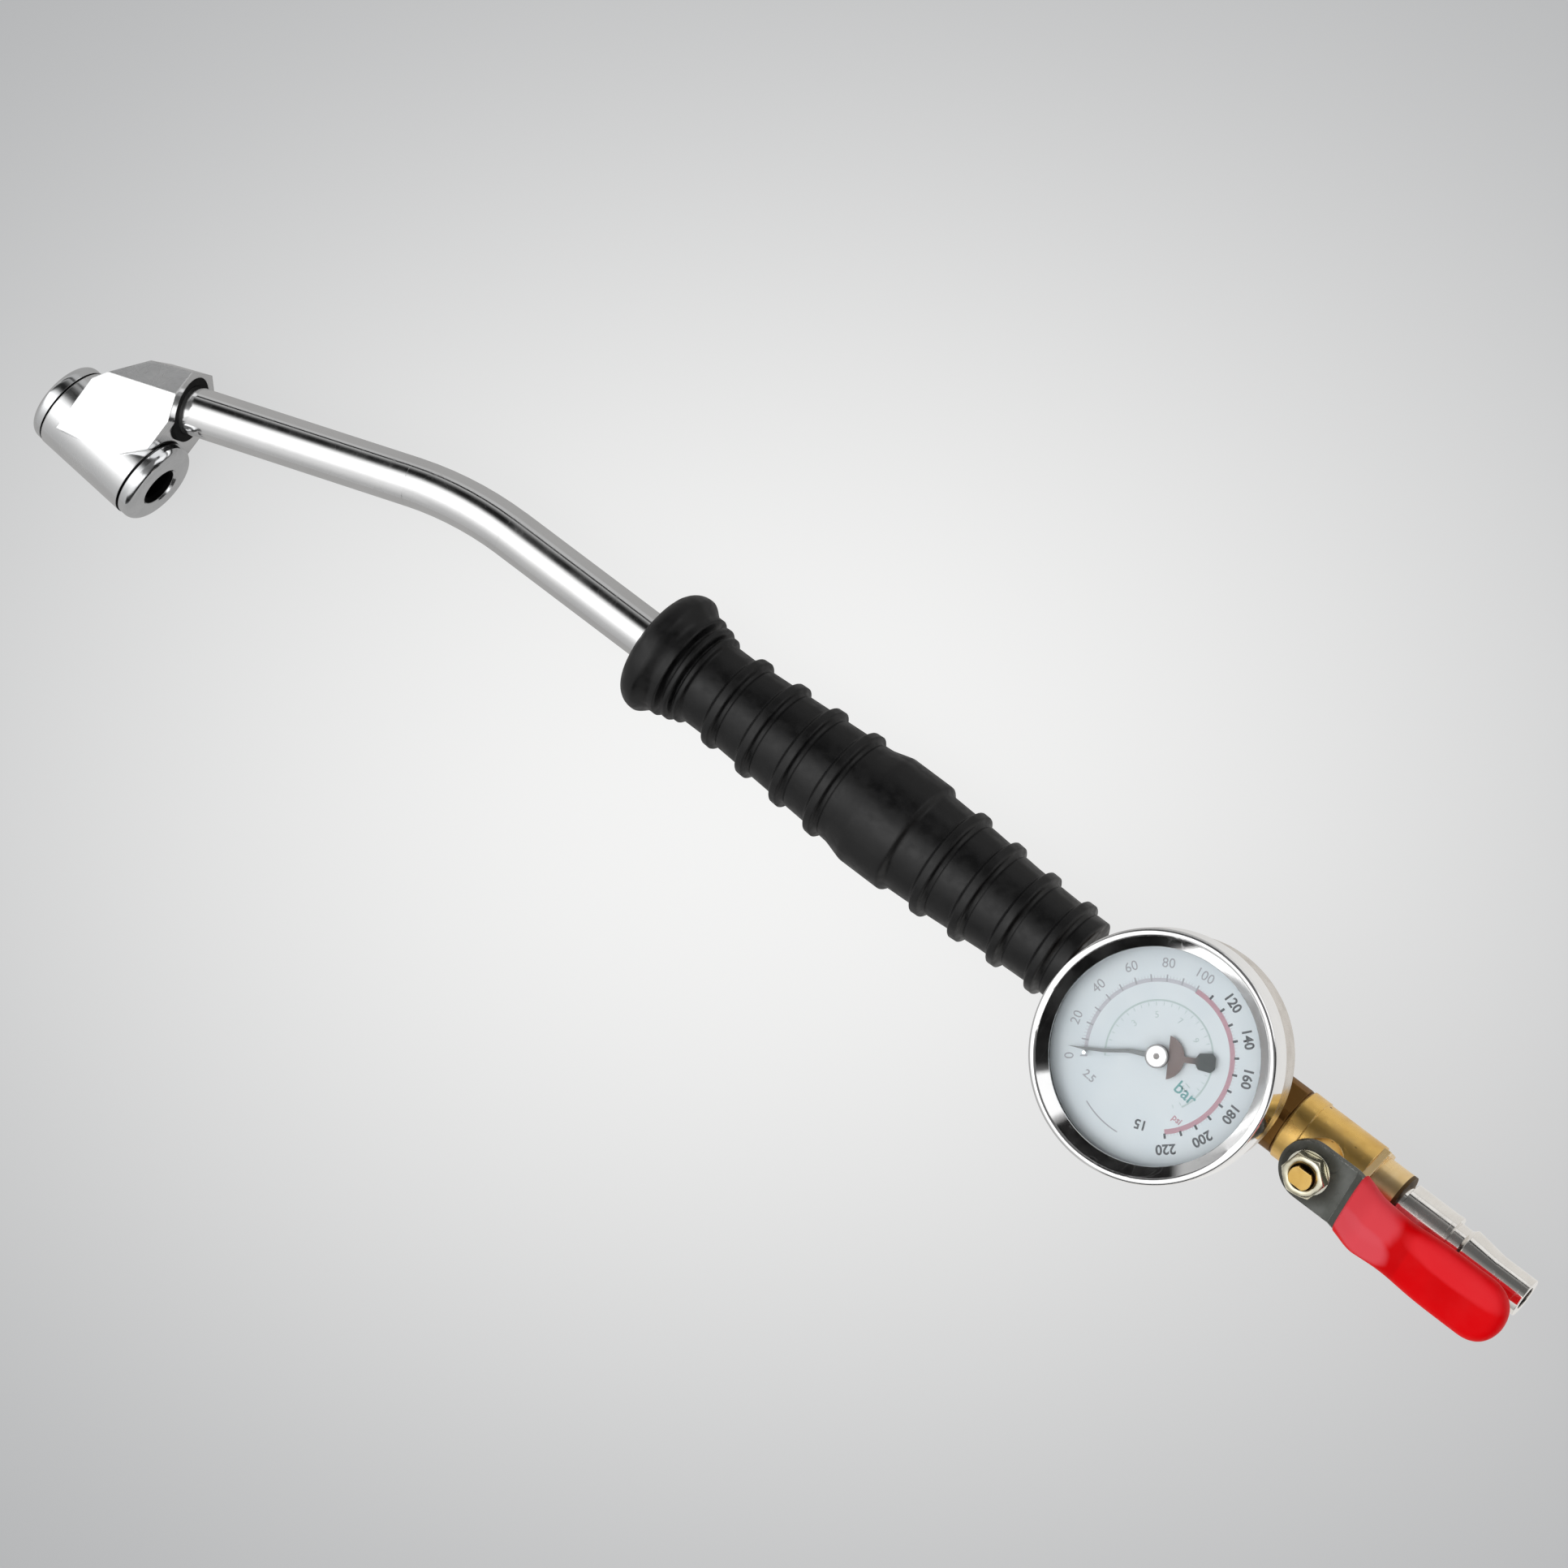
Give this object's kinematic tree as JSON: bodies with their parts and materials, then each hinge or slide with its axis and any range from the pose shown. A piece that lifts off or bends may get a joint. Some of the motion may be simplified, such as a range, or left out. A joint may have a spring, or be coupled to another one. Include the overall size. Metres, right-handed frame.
{
  "type": "tyre inflator wand",
  "caption": "Hand-held tyre inflator wand: bent chrome tube with a double-ended chuck, ribbed rubber grip, dial pressure gauge, lever ball valve and quick-connect air plug.",
  "frame": {"origin": "centre of the air plug's nose face, where the supply coupling goes on", "axes": "+X along the wand out of the air plug, towards the hose; the chuck end lies at -X. +Z out of the gauge's dial. +Y is up on the dial; the chuck end bends towards -Y."},
  "size_m": [0.4413, 0.0866, 0.0566],
  "materials": {
    "chrome_cast": "polished chrome plate on a cast body",
    "chrome_cap": "chrome plate, a little worn at the mouth",
    "chrome_tube": "mirror chrome plate",
    "seal_rubber": "black nitrile",
    "pin_brass": "turned brass",
    "spring_steel": "drawn spring wire",
    "grip_rubber": "moulded black rubber, satin",
    "dark_brass": "tarnished brown brass",
    "fibre_washer": "red-brown fibre",
    "case_steel": "pressed steel, nickel flash",
    "bezel_chrome": "mirror chrome plate",
    "lens": "clear acrylic window",
    "dial_paint": "matt white print ground",
    "pin_steel": "turned steel",
    "zinc_screw": "zinc plate",
    "bronze": "phosphor bronze",
    "movement_brass": "stamped brass",
    "pointer_paint": "dark grey paint",
    "hub_nickel": "bright nickel",
    "gold_brass": "golden brass, satin",
    "ball_chrome": "chrome plated brass ball",
    "ptfe": "white PTFE",
    "stem_brass": "bright turned brass",
    "zinc_lever": "dull zinc plate",
    "red_vinyl": "dipped red vinyl, glossy",
    "zinc_washer": "zinc plate",
    "zinc_nut": "yellowish zinc plate",
    "nickel": "bright nickel plate"
  },
  "bodies": {
    "wand": {"chuck_body": "chrome_cast", "chuck_cap_near": "chrome_cap", "chuck_cap_far": "chrome_cap", "chuck_seal_near": "seal_rubber", "chuck_seal_far": "seal_rubber", "chuck_spring": "spring_steel", "tube_seal_ring": "seal_rubber", "wand_tube": "chrome_tube", "grip_sleeve": "grip_rubber", "tee_body": "dark_brass", "gauge_port_washer": "fibre_washer", "gauge_socket": "dark_brass", "gauge_case": "case_steel", "gauge_bezel": "bezel_chrome", "gauge_lens": "lens", "lens_gasket": "seal_rubber", "gauge_dial": "dial_paint", "stop_pin": "pin_steel", "case_screws": "zinc_screw", "bourdon_tube": "bronze", "bourdon_tip": "bronze", "movement_back_plate": "movement_brass", "movement_front_plate": "movement_brass", "movement_pillars": "movement_brass", "movement_screws": "zinc_screw", "hairspring": "spring_steel", "valve_body": "gold_brass", "valve_end_piece": "gold_brass", "valve_seat_inlet": "ptfe", "valve_seat_outlet": "ptfe", "stem_packing": "ptfe", "packing_nut": "gold_brass", "hose_plug": "nickel"},
    "lever": {"valve_ball": "ball_chrome", "valve_stem": "stem_brass", "lever": "zinc_lever", "lever_sleeve": "red_vinyl", "lever_washer": "zinc_washer", "lever_nut": "zinc_nut"},
    "near_pin": {"chuck_pin_near": "pin_brass"},
    "far_pin": {"chuck_pin_far": "pin_brass"},
    "sector": {"sector_gear": "movement_brass", "sector_arbor": "pin_steel"},
    "link": {"link_bar": "pin_steel"},
    "pointer": {"pinion": "pin_steel", "pointer": "pointer_paint", "pointer_hub": "hub_nickel"}
  },
  "joints": [
    {"name": "lever_turn", "type": "hinge", "parent": "wand", "child": "lever", "pos_m": [-0.0564, 0, 0], "axis": [0, -0.3007, 0.9537], "range_deg": [-90, 0]},
    {"name": "near_pin_push", "type": "slide", "parent": "wand", "child": "near_pin", "axis": [-0.9969, 0.0785, 0], "range_m": [0, 0.002], "stiffness_N_per_m": 120, "springref_m": -0.003, "deforming": ["chuck_spring"]},
    {"name": "far_pin_push", "type": "slide", "parent": "wand", "child": "far_pin", "axis": [0.9969, -0.0785, 0], "range_m": [0, 0.002], "stiffness_N_per_m": 120, "springref_m": -0.003},
    {"name": "sector_turn", "type": "hinge", "parent": "wand", "child": "sector", "pos_m": [-0.08619, -0.01131, 0], "axis": [0, 0, 1], "range_deg": [0, 28.4], "stiffness_Nm_per_rad": 0.02, "deforming": ["bourdon_tube", "bourdon_tip"]},
    {"name": "pointer_turn", "type": "hinge", "parent": "wand", "child": "pointer", "pos_m": [-0.0975, 0, 0], "axis": [0, 0, 1], "range_deg": [-255.6, 0], "deforming": ["hairspring"]},
    {"name": "link_swing", "type": "hinge", "parent": "sector", "child": "link", "pos_m": [-0.08265, -0.01485, 0], "axis": [0, 0, 1], "range_deg": [-28.4, 0]}
  ],
  "couplings": [
    {"joint": "pointer_turn", "follows": "sector_turn", "ratio": -9},
    {"joint": "link_swing", "follows": "sector_turn", "ratio": -1}
  ]
}
